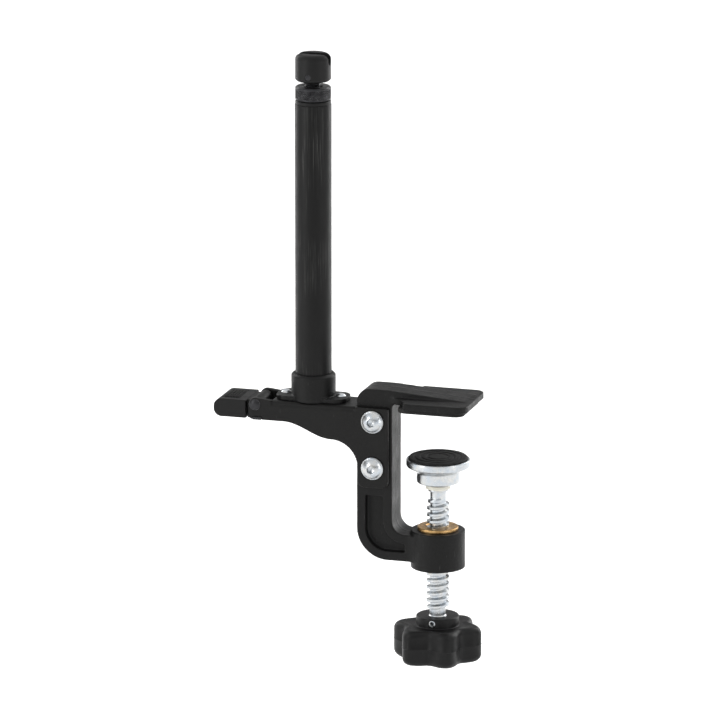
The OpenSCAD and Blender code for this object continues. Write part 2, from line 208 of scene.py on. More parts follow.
def painted_tube(name, colour):
    """Semi-matt paint on drawn tube, with faint rub marks along it from the net's sleeve."""
    shader = Shader(name, colour, 0.42, specular=SHEEN)
    peel = shader.noise(0.9 * MM, detail=2)
    streaks = shader.noise(0.4 * MM, detail=5, coords=shader.stretched((1, 1, 0.02)))
    patches = shader.spread(shader.noise(13 * MM, coords=shader.stretched((1, 1, 0.45))), 0.48, 0.64)
    rubs = shader.maths("MULTIPLY", shader.spread(streaks, 0.53, 0.64), patches)
    tone = shader.mix(shader.noise(22 * MM), scaled(colour, 0.8), scaled(colour, 1.25))
    tone = shader.mix(shader.maths("MULTIPLY", rubs, 0.5), tone, (0.05, 0.05, 0.048))
    ends = shader.maths("MULTIPLY", shader.edges(0.5 * MM), shader.spread(streaks, 0.4, 0.6))
    shader.set("Base Color", shader.mix(ends, tone, (0.09, 0.09, 0.088)))
    base = shader.spread(shader.noise(8 * MM, detail=4), 0.3, 0.7, 0.36, 0.5)
    shader.set("Roughness", shader.maths("SUBTRACT", base, shader.maths("MULTIPLY", rubs, 0.14)))
    shader.bump((peel, 0.014 * MM), (streaks, 0.006 * MM))
    return shader.material


def plated_steel(name, colour, roughness):
    """Zinc-plated steel: cool grey with faint cloudy and warm patches and fine handling marks."""
    shader = Shader(name, colour, roughness, metallic=1.0)
    cloud = shader.noise(3 * MM, detail=5, roughness=0.6)
    warm = tinted(colour, (1.03, 0.99, 0.93))
    cool = tinted(colour, (0.84, 0.88, 0.92))
    # Darker in random patches along its edges and in its creases and recesses
    edge_darkening = shader.maths("MULTIPLY", shader.edges(0.35 * MM, 0.05, 0.5), shader.noise(0.8 * MM))
    tone = shader.mix(shader.spread(cloud, 0.35, 0.65), cool, warm)
    tone = shader.mix(shader.maths("MULTIPLY", edge_darkening, 0.7), tone, (0.12, 0.115, 0.11))
    scratches = shader.scratches(0.04 * MM)
    scratched = shader.maths("MULTIPLY", scratches, 0.3)
    shader.set("Base Color", shader.mix(scratched, tone, (0.2, 0.2, 0.2)))
    marks = shader.noise(0.35 * MM, detail=6, roughness=0.7)
    shader.set("Roughness", shader.spread(marks, 0.3, 0.7, roughness - 0.08, roughness + 0.12))
    shader.bump((marks, 0.005 * MM), (shader.noise(1.6 * MM), 0.008 * MM), (scratches, -0.006 * MM))
    return shader.material


def oxide_steel(name, colour):
    """Black-oxide steel: dark, oily, and worn to grey along its edges."""
    shader = Shader(name, colour, 0.38, metallic=0.75)
    cloud = shader.noise(2.5 * MM, detail=5)
    worn = shader.maths("MULTIPLY", shader.edges(0.3 * MM), shader.spread(cloud, 0.38, 0.6))
    tone = shader.mix(cloud, scaled(colour, 0.7), scaled(colour, 1.4))
    shader.set("Base Color", shader.mix(worn, tone, (0.17, 0.17, 0.175)))
    shader.set("Roughness", shader.spread(shader.noise(0.6 * MM, detail=4), 0.3, 0.7, 0.28, 0.48))
    shader.bump((shader.noise(0.3 * MM), 0.005 * MM), (shader.scratches(0.04 * MM), -0.005 * MM))
    return shader.material


def turned_bronze(name, colour):
    """Bronze with the rings that turning leaves, and a little tarnish."""
    shader = Shader(name, colour, 0.3, metallic=1.0)
    tarnish = shader.spread(shader.noise(2.2 * MM, detail=5), 0.42, 0.7)
    shader.set("Base Color", shader.mix(tarnish, colour, tinted(colour, (0.5, 0.45, 0.4))))
    shader.set("Roughness", shader.spread(shader.noise(0.9 * MM, detail=4), 0.3, 0.7, 0.24, 0.44))
    rings = shader.node("ShaderNodeTexWave", {
        "Vector": shader.coords, "Scale": 1 / MM, "Distortion": 0.4},
        wave_type="RINGS", rings_direction="Z")
    shader.bump((rings.outputs["Fac"], 0.008 * MM), (shader.scratches(0.04 * MM), -0.006 * MM))
    return shader.material


def moulded_plastic(name, colour, roughness, grain, depth):
    """Moulded black plastic with the mould's fine spark-eroded texture; worn edges shinier, and paler
    as a painted highlight.
    """
    shader = Shader(name, colour, roughness, specular=SHEEN * 1.1)
    texture = shader.noise(grain, detail=2, roughness=0.6)
    cloud = shader.noise(7 * MM, detail=4)
    handled = shader.spread(shader.noise(2 * MM), 0.35, 0.6)
    worn_and_highlit_edges = shader.maths("MULTIPLY", shader.edges(0.9 * MM), handled)
    scratches = shader.scratches(0.05 * MM)
    tone = shader.mix(cloud, scaled(colour, 0.8), scaled(colour, 1.35))
    tone = shader.mix(shader.maths("MULTIPLY", scratches, 0.5), tone, scaled(colour, 4))
    # Edges painted paler: partly worn plastic, partly a painted highlight along them
    shader.set("Base Color", shader.mix(worn_and_highlit_edges, tone, scaled(colour, 2.2)))
    base = shader.spread(cloud, 0.3, 0.7, roughness - 0.06, roughness + 0.08)
    shader.set("Roughness", shader.maths("SUBTRACT", base, shader.maths("MULTIPLY", worn_and_highlit_edges, 0.2)))
    shader.bump((texture, depth), (scratches, -0.01 * MM))
    return shader.material


def rubber(name, colour):
    """Matt black rubber with a fine grain and a little dust."""
    shader = Shader(name, colour, 0.78, specular=0.2)
    dust = shader.spread(shader.noise(5 * MM, detail=8, roughness=0.72), 0.5, 0.72)
    dusty = shader.maths("MULTIPLY", dust, 0.6)
    shader.set("Base Color", shader.mix(dusty, colour, (0.05, 0.049, 0.046)))
    shader.set("Roughness", shader.spread(dust, 0, 1, 0.7, 0.92))
    shader.bump((shader.noise(0.25 * MM), 0.02 * MM), (shader.noise(1.5 * MM), 0.03 * MM))
    return shader.material


def natural_nylon(name, colour):
    """Off-white nylon, slightly translucent."""
    shader = Shader(name, colour, 0.4)
    shader.set("Subsurface Weight", 0.15)
    shader.set("Subsurface Radius", (0.9 * MM, 0.7 * MM, 0.5 * MM))
    shader.set("Base Color", shader.mix(shader.noise(3 * MM), colour, scaled(colour, 0.88)))
    shader.set("Roughness", shader.spread(shader.noise(0.8 * MM), 0.3, 0.7, 0.34, 0.5))
    shader.bump((shader.noise(0.4 * MM), 0.006 * MM),)
    return shader.material


def paper_sweep(name):
    """The pale floor, with the faintest mottling, lit a little from behind like a light table."""
    shader = Shader(name, (0.86, 0.86, 0.86), 0.9, specular=0.15)
    shader.set("Base Color", shader.mix(shader.noise(0.3), (0.85, 0.85, 0.85), (0.88, 0.88, 0.88)))
    shader.set("Emission Color", (1, 1, 1))
    shader.set("Emission Strength", 0.32)
    return shader.material


# The record's material slots
MATERIALS = {
    "frame_paint": powder_coat("frame_powder_coat", (0.0055, 0.0055, 0.0054), 0.42,
                               grain=1.3 * MM, depth=0.12 * MM, wear_and_highlight=0.035, parting=0.09 * MM),
    "arm_paint": powder_coat("arm_powder_coat", (0.0055, 0.0055, 0.0053), 0.38,
                             grain=0.9 * MM, depth=0.055 * MM, wear_and_highlight=0.05),
    "socket_paint": powder_coat("socket_powder_coat", (0.005, 0.005, 0.005), 0.4,
                                grain=0.9 * MM, depth=0.06 * MM, wear_and_highlight=0.05),
    "post_paint": painted_tube("post_paint_coat", (0.0048, 0.0048, 0.0048)),
    "zinc_steel": plated_steel("zinc_plate", (0.5, 0.52, 0.54), 0.27),
    "black_steel": oxide_steel("black_oxide", (0.024, 0.024, 0.026)),
    "bronze": turned_bronze("turned_bronze", (0.52, 0.33, 0.14)),
    "black_nylon": moulded_plastic("black_nylon_moulded", (0.0055, 0.0055, 0.0055), 0.46,
                                   grain=0.35 * MM, depth=0.035 * MM),
    "knob_plastic": moulded_plastic("knob_plastic_moulded", (0.005, 0.005, 0.0051), 0.42,
                                    grain=0.45 * MM, depth=0.045 * MM),
    "rubber": rubber("black_rubber", (0.007, 0.007, 0.007)),
    "white_nylon": natural_nylon("natural_nylon", (0.66, 0.64, 0.56)),
}


# ---- Mesh building ----

# Radius at which a turned solid closes on its axis
AXIS_R = 0.01 * MM

# An edge between faces at more than this angle is shaded sharp
CREASE = math.radians(38)


def new_object(name, data):
    made = bpy.data.objects.new(name, data)
    bpy.context.collection.objects.link(made)
    return made


def add_piece(name, shells, slot, body):
    """Makes one object of closed shells, each a (vertices, faces) pair, riding on a body."""
    vertices, faces = [], []
    for shell_vertices, shell_faces in shells:
        start = len(vertices)
        vertices += [Vector(v) for v in shell_vertices]
        faces += [[start + i for i in face] for face in shell_faces]
    mesh = bpy.data.meshes.new(name)
    mesh.from_pydata(vertices, [], faces)
    work = bmesh.new()
    work.from_mesh(mesh)
    bmesh.ops.recalc_face_normals(work, faces=work.faces)
    for face in work.faces:
        face.smooth = True
    for edge in work.edges:
        edge.smooth = edge.calc_face_angle(0) < CREASE
    work.to_mesh(mesh)
    work.free()
    mesh.materials.append(MATERIALS[slot])
    piece = new_object(name, mesh)
    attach(piece, body)
    return piece


def stand_for(node, shells):
    """A piece that takes the place of a CAD node, with that node's body and slot."""
    piece = add_piece(node + "_piece", shells, SLOT_OF[node], BODY_OF[node])
    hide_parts(node)
    return piece


def rounded(corners, steps=5):
    """A profile from corners given as (r, z) or (r, z, fillet).

    A fillet on the first or last corner takes the corner at the other end as its neighbour.
    """
    points = []
    for i, corner in enumerate(corners):
        here = Vector(corner[:2])
        if len(corner) == 2 or corner[2] == 0:
            points.append(tuple(here))
            continue
        to_last = (Vector(corners[i - 1][:2]) - here).normalized()
        to_next = (Vector(corners[(i + 1) % len(corners)][:2]) - here).normalized()
        half = to_last.angle(to_next) / 2
        reach = corner[2] / math.tan(half)
        centre = here + (to_last + to_next).normalized() * corner[2] / math.sin(half)
        first = here + to_last * reach - centre
        last = here + to_next * reach - centre
        start = math.atan2(first.y, first.x)
        sweep = (math.atan2(last.y, last.x) - start + math.pi) % (2 * math.pi) - math.pi
        for k in range(steps + 1):
            angle = start + sweep * k / steps
            points.append((centre.x + corner[2] * math.cos(angle),
                           centre.y + corner[2] * math.sin(angle)))
    return points


def circle(r, angle):
    return r


def wall(rings):
    """Faces that join each ring of vertices to the next."""
    faces = []
    for low, high in zip(rings, rings[1:]):
        for k in range(len(low)):
            n = (k + 1) % len(low)
            faces.append([low[k], low[n], high[n], high[k]])
    return faces


def turned(profile, segments=96, closed=False):
    """A solid turned about Z from (r, z) or (r, z, outline) rows.

    outline(r, angle) turns the row's circle into another shape. A closed profile makes a ring with
    a hole.
    """
    vertices, rings = [], []
    for row in profile:
        outline = row[2] if len(row) > 2 else circle
        rings.append(range(len(vertices), len(vertices) + segments))
        for k in range(segments):
            angle = 2 * math.pi * k / segments
            r = outline(row[0], angle)
            vertices.append((r * math.cos(angle), r * math.sin(angle), row[1]))
    if closed:
        return vertices, wall(rings + rings[:1])
    return vertices, [list(rings[0]), list(rings[-1])] + wall(rings)


def hexagon(r, angle):
    """Radius of a hexagon of half width r across its flats."""
    return r / math.cos((angle + math.pi / 6) % (math.pi / 3) - math.pi / 6)


def moved(shell, place, turn=None):
    """The shell turned by a matrix and then moved to place."""
    turn = turn or Matrix.Identity(3)
    return [turn @ Vector(v) + Vector(place) for v in shell[0]], shell[1]


# Turns of a shell drawn along +Z so that it lies along +Y, -Y or -Z
ALONG_Y = Matrix(((1, 0, 0), (0, 0, 1), (0, -1, 0)))
AGAINST_Y = Matrix(((1, 0, 0), (0, 0, -1), (0, 1, 0)))
UPSIDE_DOWN = Matrix(((1, 0, 0), (0, -1, 0), (0, 0, -1)))


def smooth_step(t):
    """From 0 to 1 as t goes from 0 to 1, level at both ends."""
    t = min(max(t, 0.0), 1.0)
    return t * t * (3 - 2 * t)


def threaded_rod(below, above, z0, turns, pitch, root, crest, profile, segments=96):
    """A turned rod with a right-hand thread from z0 up, which fades in and out over its end turns.

    below and above are the (r, z) rows of the plain ends. profile lists (share of the pitch, height
    from 0 at the root to 1 at the crest), from the middle of one root to just before the next.
    """
    vertices, faces = [], []
    steps, count = turns * segments, len(profile)
    fade_steps = 0.7 * segments
    z1 = z0 + pitch * (turns + 1)

    def point(r, index, z):
        angle = 2 * math.pi * index / segments
        vertices.append((r * math.cos(angle), r * math.sin(angle), z))
        return len(vertices) - 1

    def ring(r, z):
        return [point(r, k, z) for k in range(segments)]

    lower = [ring(r, z) for r, z in below] + [ring(root, z0)]
    upper = [ring(root, z1)] + [ring(r, z) for r, z in above]
    helix = {(0, 0): lower[-1][0], (steps + segments, 0): upper[0][0]}
    for i in range(steps + segments + 1):
        fade = smooth_step(min(i, steps - i) / fade_steps)
        for j, (share, height) in enumerate(profile[:1] if i > steps else profile):
            if (i, j) not in helix:
                r = root + (crest - root) * height * fade
                helix[i, j] = point(r, i, z0 + pitch * (i / segments + share))
        helix[i - segments, count] = helix[i, 0]
    for i in range(steps):
        for j in range(count):
            faces.append([helix[i, j], helix[i + 1, j], helix[i + 1, j + 1], helix[i, j + 1]])
    first, last = lower[-1], upper[0]
    for k in range(segments):
        n = (k + 1) % segments
        if k == 0:
            faces.append([first[0], first[1], helix[1, 0]])
            seam = [helix[steps, j] for j in range(count - 1, 0, -1)]
            faces.append([helix[steps, 0], helix[steps + 1, 0], last[1], last[0], *seam])
        elif k == segments - 1:
            seam = [helix[0, j] for j in range(count)]
            faces.append([first[k], *seam, helix[segments, 0], helix[k, 0]])
            faces.append([helix[steps + k, 0], last[0], last[k]])
        else:
            faces.append([first[k], first[n], helix[k + 1, 0], helix[k, 0]])
            faces.append([helix[steps + k, 0], helix[steps + k + 1, 0], last[n], last[k]])
    faces += wall(lower) + wall(upper) + [lower[0], upper[-1]]
    return vertices, faces


def tooth(profile, share):
    """Height of a thread's profile at a share of its pitch."""
    share %= 1
    points = [*profile, (1, profile[0][1])]
    for (s0, h0), (s1, h1) in zip(points, points[1:]):
        if s0 <= share <= s1:
            return h0 + (h1 - h0) * (share - s0) / (s1 - s0)
    return 0


def inner_thread(z0, low, high, pitch, root, crest, profile, play, steps=12):
    """Rows for turned() of a nut's bore, from high down to low, that fits a rod threaded from z0.

    The groove is the rod's tooth, widened by a share of the pitch each way and deepened by play.
    """
    widening = 0.05

    def row(z):
        def outline(r, angle):
            share = (z - z0) / pitch - angle / (2 * math.pi)
            height = max(tooth(profile, share + lean) for lean in (-widening, 0, widening))
            return min(root + 3 * play + (crest - root) * height, crest + play)
        return (crest, z, outline)

    count = math.ceil((high - low) / pitch * steps)
    return [row(high - (high - low) * k / count) for k in range(count + 1)]


def prism(outline, depth, edge, steps=3):
    """An outline in X and Z made depth thick about y = 0, with its rims rounded by edge."""
    points = [Vector(p) for p in outline]
    count = len(points)
    area = sum(points[i - 1].x * points[i].y - points[i].x * points[i - 1].y for i in range(count))
    side = 1 if area > 0 else -1
    sharpest = 0.3  # keeps a sharp corner from moving in too far

    def inset(by):
        made = []
        for i, here in enumerate(points):
            to_last = (points[i - 1] - here).normalized()
            to_next = (points[(i + 1) % count] - here).normalized()
            inward = Vector((-to_next.y + to_last.y, to_next.x - to_last.x)) * side
            inward.normalize()
            share = max(abs(inward.x * -to_next.y + inward.y * to_next.x), sharpest)
            made.append(here + inward * by / share)
        return made

    rows = []
    for k in range(steps + 1):
        angle = math.pi / 2 * k / steps
        rows.append((edge * (1 - math.sin(angle)), -depth / 2 + edge * (1 - math.cos(angle))))
    rows += [(by, -y) for by, y in reversed(rows)]
    vertices = [(p.x, y, p.y) for by, y in rows for p in inset(by)]
    rings = [range(row * count, (row + 1) * count) for row in range(len(rows))]
    return vertices, [list(rings[0]), list(rings[-1])] + wall(rings)


def upright(node):
    """Radius, lowest and highest z of an upright round CAD node."""
    low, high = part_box(node)
    return (high.x - low.x) / 2, low.z, high.z


def axis_of(node):
    """Where (x, y) the axis of an upright round CAD node stands."""
    low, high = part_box(node)
    return (low.x + high.x) / 2, (low.y + high.y) / 2


def stand_upright(node, shell, z=0):
    """A shell drawn about the Z axis, put on the axis of the CAD node whose place it takes."""
    stand_for(node, [moved(shell, (*axis_of(node), z))])


def drill(piece, place, r, length):
    """Cuts a round hole along Y through a piece."""
    rows = [(r, -length / 2), (r, length / 2)]
    vertices, faces = moved(turned(rows, 48), place, ALONG_Y)
    mesh = bpy.data.meshes.new("drill")
    mesh.from_pydata(vertices, [], faces)
    cutter = new_object("drill", mesh)
    work = bmesh.new()
    work.from_mesh(mesh)
    bmesh.ops.recalc_face_normals(work, faces=work.faces)
    work.to_mesh(mesh)
    work.free()
    cut = piece.modifiers.new("hole", "BOOLEAN")
    cut.operation = "DIFFERENCE"
    cut.solver = "EXACT"
    cut.object = cutter
    bpy.context.view_layer.update()
    result = bpy.data.meshes.new_from_object(piece.evaluated_get(bpy.context.evaluated_depsgraph_get()))
    piece.modifiers.clear()
    piece.data = result
    bpy.data.objects.remove(cutter)


# ---- CAD nodes that stay, with rounded edges ----

def cast(node, voxel, passes, swell=0.0):
    """A casting, pressing or moulding: remade of voxels, then softened by passes of smoothing.

    swell is how uneven its faces are.
    """
    piece = frame["nodes"][node]
    piece.modifiers.new("join", "WELD").merge_threshold = 1e-6
    remesh = piece.modifiers.new("skin", "REMESH")
    remesh.mode = "VOXEL"
    remesh.voxel_size = voxel
    remesh.use_smooth_shade = True
    smooth = piece.modifiers.new("soften", "SMOOTH")
    smooth.factor = 0.5
    smooth.iterations = passes
    if swell:
        cloud = bpy.data.textures.new(node + "_uneven", "CLOUDS")
        cloud.noise_scale = 6 * MM
        uneven = piece.modifiers.new("uneven", "DISPLACE")
        uneven.texture = cloud
        uneven.texture_coords = "GLOBAL"
        uneven.strength = swell
        uneven.mid_level = 0.5
    paint(piece, node)


def machined(node, edge):
    """A machined piece: its sharp edges broken by a small round."""
    piece = frame["nodes"][node]
    piece.modifiers.new("join", "WELD").merge_threshold = 1e-6
    flat = piece.modifiers.new("flat", "DECIMATE")
    flat.decimate_type = "DISSOLVE"
    flat.angle_limit = math.radians(0.5)
    bevel = piece.modifiers.new("edges", "BEVEL")
    bevel.width = edge
    bevel.segments = 3
    bevel.limit_method = "ANGLE"
    bevel.angle_limit = math.radians(35)
    piece.modifiers.new("shade", "WEIGHTED_NORMAL").keep_sharp = True
    paint(piece, node)


def paint(piece, node):
    piece.data.materials.clear()
    piece.data.materials.append(MATERIALS[SLOT_OF[node]])


def cast_and_pressed_parts():
    cast("clamp_frame", 0.37 * MM, 5, swell=0.12 * MM)
    cast("arm_channel", 0.27 * MM, 10)
    cast("post_socket", 0.2 * MM, 8, swell=0.05 * MM)
    cast("lock_lever", 0.18 * MM, 7, swell=0.03 * MM)
    cast("cord_head", 0.15 * MM, 6)
    machined("lock_anvil", 0.25 * MM)
    machined("head_pin", 0.2 * MM)
    machined("post_plug", 0.2 * MM)


# ---- Post ----

POST_WALL = 1.5 * MM


def post():
    """The tube, swaged down by a step where it stands in its socket."""
    r, low, high = upright("post_tube")
    inner = r - POST_WALL
    swaged = r - 0.5 * MM
    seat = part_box("post_socket")[1].z
    tube = rounded([
        (inner, low), (swaged, low, 0.2 * MM), (swaged, seat - 0.4 * MM),
        (r, seat, 0.1 * MM), (r, high, 0.45 * MM), (inner, high)])
    stand_upright("post_tube", turned(tube, 128, closed=True))


def double_d(gap):
    """The outline of a rod with two flats across X, grown by gap."""
    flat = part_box("head_stem")[1].x - axis_of("head_stem")[0]

    def outline(r, angle):
        return min(r, (flat + gap) / max(abs(math.cos(angle)), 1e-6))
    return outline


def post_top_bush():
    """The flanged bush in the tube's top, whose hole has the stem's two flats."""
    tube_r, _, seat = upright("post_tube")
    outer, low, high = upright("post_top_bush")
    inner = tube_r - POST_WALL
    hole, chamfer = 4.15 * MM, 0.5 * MM
    outside = rounded([
        (hole, low), (inner, low, 0.5 * MM), (inner, seat), (outer, seat, 0.15 * MM),
        (outer, high, 0.4 * MM), (hole + chamfer, high)])[1:-1]
    flats = double_d(0.15 * MM)
    bush = [(hole, low, flats), *outside, (hole + chamfer, high, flats), (hole, high - chamfer, flats)]
    stand_upright("post_top_bush", turned(bush, 96, closed=True))


def head_stem_and_nut():
    """The threaded stem under the head and the nut on it, cut with the same thread."""
    _, low, high = upright("head_stem")
    rod, pitch = 4 * MM, 1.25 * MM
    root = rod - 0.68 * MM
    turns = int((high - low - 1.2 * MM) / pitch) - 1
    start = low + 0.7 * MM
    teeth = [(0, 0), (0.1, 0.06), (0.42, 0.93), (0.5, 1), (0.58, 0.93), (0.9, 0.06)]
    stem = threaded_rod([(root - 0.6 * MM, low)], [(root, high - 0.3 * MM), (root - 0.3 * MM, high)],
                        start, turns, pitch, root, rod, teeth)
    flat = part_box("head_stem")[1].x - axis_of("head_stem")[0]
    clipped = [(max(-flat, min(flat, v[0])), v[1], v[2]) for v in stem[0]]
    stand_upright("head_stem", (clipped, stem[1]))

    r, low, high = upright("height_nut")
    bore = inner_thread(start, low + 0.5 * MM, high - 0.5 * MM, pitch, root, rod, teeth, 0.07 * MM, 10)
    stand_upright("height_nut", knurled_ring(r, bore, low, high))


def knurled_ring(r, bore, low, high):
    """A ring with a diamond knurl round it and plain chamfered ends.

    bore lists the rows of its hole.
    """
    teeth, depth, margin, chamfer = 44, 0.38 * MM, 0.9 * MM, 0.5 * MM
    steepness = 3.2
    pitch = 2 * math.pi * r / teeth
    segments = teeth * 8

    def row(z):
        fade = smooth_step(min(z - low - margin, high - margin - z) / (0.25 * MM))

        def outline(radius, angle):
            along = teeth * angle / (2 * math.pi)
            ridges = [abs((along + side * z / pitch) % 1 - 0.5) for side in (-1, 1)]
            height = min(1, steepness * (0.5 - max(ridges)))
            return radius - depth * (1 - height) * fade
        return (r, z, outline)

    rows = 56
    span = high - low - 2 * margin
    face = [row(low + margin + span * k / rows) for k in range(rows + 1)]
    hole = bore[0][0]
    lower = rounded([(hole + chamfer, low), (r - chamfer, low), (r, low + chamfer, 0.2 * MM),
                     (r, low + margin)])[:-1]
    upper = [(radius, low + high - z) for radius, z in reversed(lower)]
    return turned(lower + face + upper + bore, segments, closed=True)


# ---- Fasteners ----

def button_head(r, height, across_flats, depth, shank, length):
    """A button-head bolt drawn up Z, with its head's underside at z = 0 and a hexagon socket."""
    sphere = (r * r + height * height) / (2 * height)
    mouth = across_flats / 2
    lip = mouth * 1.22
    chamfer = 0.6 * MM
    steps = 8
    dome = []
    top = math.sqrt(sphere ** 2 - lip ** 2) - sphere + height
    for k in range(steps + 1):
        radius = lip + (r - 0.25 * MM - lip) * k / steps
        dome.append((radius, -(math.sqrt(sphere ** 2 - radius ** 2) - sphere + height)))
    rim = rounded([dome[-1], (r, -0.3 * MM, 0.2 * MM), (r, 0, 0.15 * MM), (shank, 0)])[1:]
    socket = [
        (AXIS_R, -top + depth + 0.5 * MM),
        (mouth * 0.97, -top + depth, hexagon), (mouth, -top + depth - 0.15 * MM, hexagon),
        (mouth, -top + 0.25 * MM, hexagon), (mouth + 0.12 * MM, -top + 0.05 * MM, hexagon)]
    tip = [(shank, length - chamfer), (shank - chamfer, length), (AXIS_R, length)]
    return turned(socket + dome + rim + tip, 96)


def cap_screw(r, head, across_flats, depth, shank, length):
    """A socket-head cap screw drawn up Z with its head at the bottom, its side finely grooved."""
    grooves, groove_depth = 36, 0.12 * MM
    chamfer = 0.8 * MM

    def grooved(radius, angle):
        return radius - groove_depth * abs(math.sin(grooves * angle / 2))

    mouth = across_flats / 2
    socket = [
        (AXIS_R, depth + 0.8 * MM), (mouth * 0.97, depth, hexagon), (mouth, depth - 0.2 * MM, hexagon),
        (mouth, 0.3 * MM, hexagon), (mouth + 0.25 * MM, 0, hexagon)]
    side = [
        (r - 0.6 * MM, 0), (r - 0.15 * MM, 0.15 * MM), (r, 0.6 * MM, grooved),
        (r, head - 0.4 * MM, grooved), (r - 0.15 * MM, head - 0.1 * MM), (r - 0.3 * MM, head),
        (shank, head)]
    tip = [(shank, length - chamfer), (shank - chamfer, length), (AXIS_R, length)]
    return turned(socket + side + tip, grooves * 8)


def lock_nut(across_flats, hexagon_height, collar, height, bore):
    """A locking nut drawn up Z from z = 0: a chamfered hexagon and a rolled round collar."""
    flat = across_flats / 2
    corner = flat / math.cos(math.pi / 6)
    chamfer, slope = 0.55 * MM, 1.5

    def cut(z):
        """The hexagon, cut by the cone that chamfers its ends."""
        near = min(z, hexagon_height - z)
        cone = corner - max(0, chamfer - near) * slope
        return lambda r, angle: min(hexagon(flat, angle), cone)

    drawn_height = 3.2
    levels = [z / drawn_height * hexagon_height
              for z in (0, 0.15, 0.3, 0.45, 0.58, 1.6, 2.62, 2.75, 2.9, 3.05, 3.2)]
    sides = [(flat, z, cut(z)) for z in levels]
    rim, recess = bore + 1.1 * MM, height - 0.5 * MM
    crown = rounded([(collar, hexagon_height), (collar, height, 0.7 * MM), (rim, height, 0.1 * MM),
                     (rim, recess), (bore, recess)])
    return turned([(bore, 0)] + sides + crown, 96, closed=True)


def flat_ring(outer, bore, thick, edge=0.15 * MM):
    """A washer drawn up Z from z = 0."""
    corners = [(bore, 0, edge), (outer, 0, edge), (outer, thick, edge), (bore, thick, edge)]
    return turned(rounded(corners, steps=3), 96, closed=True)


def domed_end(r, height, neck, reach):
    """A rivet's head drawn up Z on a neck that goes reach below z = 0, a little flattened on top."""
    sphere = (r * r + height * height) / (2 * height)
    flat, edge, steps = 0.35, 0.97, 10
    dome = [(r, 0.12 * MM)]
    for k in range(steps, 0, -1):
        radius = r * (flat + (edge - flat) * k / steps)
        dome.append((radius, math.sqrt(sphere ** 2 - radius ** 2) - sphere + height))
    top = dome[-1][1] + 0.03 * MM
    rows = [(neck, -reach), (neck, 0), (r - 0.1 * MM, 0), *dome, (r * flat * 0.85, top), (AXIS_R, top)]
    return turned(rows, 72)


def bolt_lines():
    """The (x, z) of each arm bolt, from the two washers' places."""
    low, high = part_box("arm_washers")
    radius = (high.x - low.x) / 2
    x = (low.x + high.x) / 2
    return [(x, high.z - radius), (x, low.z + radius)]


def arm_fasteners():
    """The two M5 bolts through the arm and the frame, with the nylon ring in each lock nut."""
    bolts, washers, nuts, inserts = [], [], [], []
    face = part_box("arm_washers")[1].y
    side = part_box("arm_channel")[1].y
    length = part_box("arm_bolts")[1].y + face
    nut_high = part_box("arm_nuts")[1].y - face
    thread_r = 2.5 * MM
    bolt = button_head(4.75 * MM, 2.75 * MM, across_flats=3 * MM, depth=1.6 * MM,
                       shank=thread_r, length=length)
    nut = lock_nut(across_flats=8 * MM, hexagon_height=3.2 * MM, collar=3.7 * MM,
                   height=nut_high, bore=thread_r)
    insert = flat_ring(3.58 * MM, thread_r, thick=0.4 * MM, edge=0.08 * MM)
    insert_y = face + nut_high - 0.49 * MM
    washer = flat_ring(5 * MM, 2.6 * MM, face - side)
    first_turn, next_turn = 17, 31
    for turn, (x, z) in enumerate(bolt_lines()):
        twist = Matrix.Rotation(math.radians(first_turn + next_turn * turn), 3, "Z")
        bolts.append(moved(bolt, (x, -face, z), ALONG_Y @ twist))
        nuts.append(moved(nut, (x, face, z), ALONG_Y @ twist))
        inserts.append(moved(insert, (x, insert_y, z), ALONG_Y))
        washers.append(moved(washer, (x, -face, z), ALONG_Y))
        washers.append(moved(washer, (x, side, z), ALONG_Y))
    stand_for("arm_bolts", bolts)
    stand_for("arm_washers", washers)
    stand_for("arm_nuts", nuts)
    add_piece("nut_nylon_rings", inserts, "white_nylon", "frame")


def socket_rivets():
    """Two rivets from the socket's flange through the arm's top, headed above and below."""
    low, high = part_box("socket_rivets")
    flange, sheet = 2 * MM, 2.5 * MM
    head, neck = 2.4 * MM, 1.75 * MM
    shells = []
    upper = domed_end(head, high.z - flange, neck, flange + sheet / 2)
    lower = domed_end(head, -low.z - sheet, neck, sheet / 2)
    for x in (low.x + head, high.x - head):
        shells.append(moved(upper, (x, 0, flange)))
        shells.append(moved(lower, (x, 0, -sheet), UPSIDE_DOWN))
    stand_for("socket_rivets", shells)


def lock_pin():
    """The lever's pin, in two halves that meet in the plane y = 0, each with a riveted head."""
    low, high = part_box("lock_pin")
    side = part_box("arm_channel")[1].y
    x, z = (low.x + high.x) / 2, (low.z + high.z) / 2
    half = domed_end((high.x - low.x) / 2, high.y - side, 1.5 * MM, side)
    stand_for("lock_pin", [moved(half, (x, side, z), ALONG_Y), moved(half, (x, -side, z), AGAINST_Y)])


def post_fixings():
    """The M6 screw and washer that draw the post down into its socket."""
    _, low, high = upright("post_bolt")
    bolt = cap_screw(5 * MM, 4 * MM, across_flats=5 * MM, depth=2.6 * MM, shank=3 * MM,
                     length=high - low)
    stand_upright("post_bolt", bolt, low)
    r, low, high = upright("post_washer")
    stand_upright("post_washer", flat_ring(r, 3.2 * MM, high - low), low)


# ---- Cord lock ----

